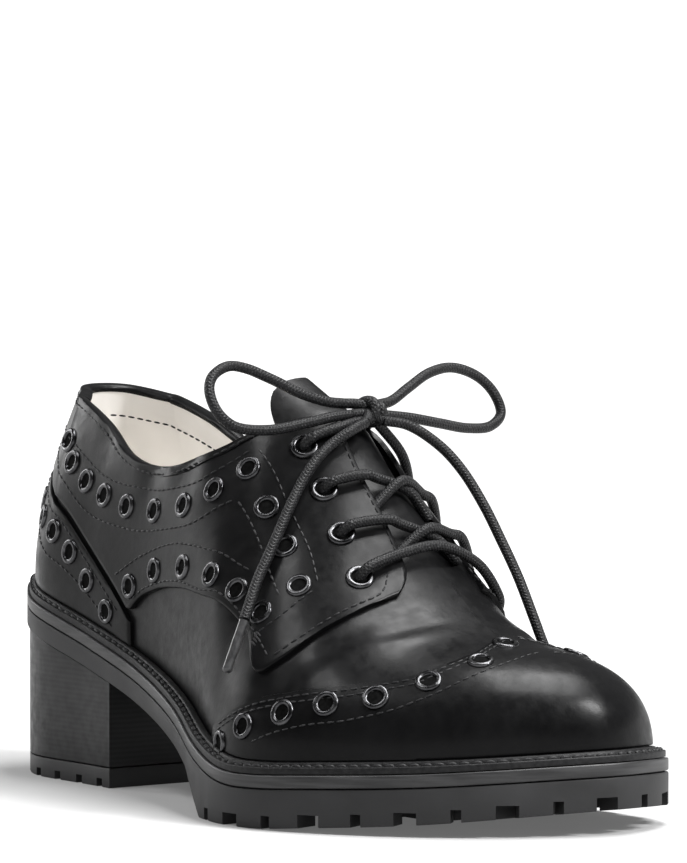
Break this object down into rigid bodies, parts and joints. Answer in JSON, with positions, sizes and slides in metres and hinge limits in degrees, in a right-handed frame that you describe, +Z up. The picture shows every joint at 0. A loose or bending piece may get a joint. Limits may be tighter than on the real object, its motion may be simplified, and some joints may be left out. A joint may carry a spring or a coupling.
{
  "type": "oxford shoe",
  "caption": "Right lace-up leather shoe with a wing cap, open derby facings, a bow-tied round lace, a stitched welt, a lugged rubber sole and a stacked block heel.",
  "frame": {"origin": "middle of the heel's top lift where it stands on the floor", "axes": "+X to the toe, +Y to the wearer's left (the medial side of this right shoe), +Z up"},
  "size_m": [0.2509, 0.1213, 0.1294],
  "materials": {
    "leather": "smooth semi-gloss black",
    "rubber": "matt dark grey",
    "edge": "satin dark grey, burnished",
    "welt": "matt black with black stitches",
    "stacked": "satin black, in fine layers",
    "lining": "matt light warm grey",
    "gunmetal": "dark gunmetal, polished",
    "cord": "waxed braid with a faint fleck"
  },
  "bodies": {
    "root": {"outsole": "rubber", "midsole": "edge", "welt": "welt", "heel_block": "stacked", "top_lift": "rubber", "insole": "lining", "upper": "leather", "quarter_outer": "leather", "quarter_inner": "leather", "heel_counter": "leather", "wing_cap": "leather", "tongue": "leather", "eyelet_outer_1": "gunmetal", "eyelet_inner_1": "gunmetal", "eyelet_outer_2": "gunmetal", "eyelet_inner_2": "gunmetal", "eyelet_outer_3": "gunmetal", "eyelet_inner_3": "gunmetal", "eyelet_outer_4": "gunmetal", "eyelet_inner_4": "gunmetal", "lace_bar": "cord", "lace_crossing_low": "cord", "lace_crossing_high": "cord", "lace_rise_outer": "cord", "lace_rise_inner": "cord", "lace_knot": "cord", "lace_loop_outer": "cord", "lace_loop_inner": "cord", "lace_end_outer": "cord", "lace_end_inner": "cord", "lace_tip_outer": "gunmetal", "lace_tip_inner": "gunmetal"}
  },
  "joints": []
}
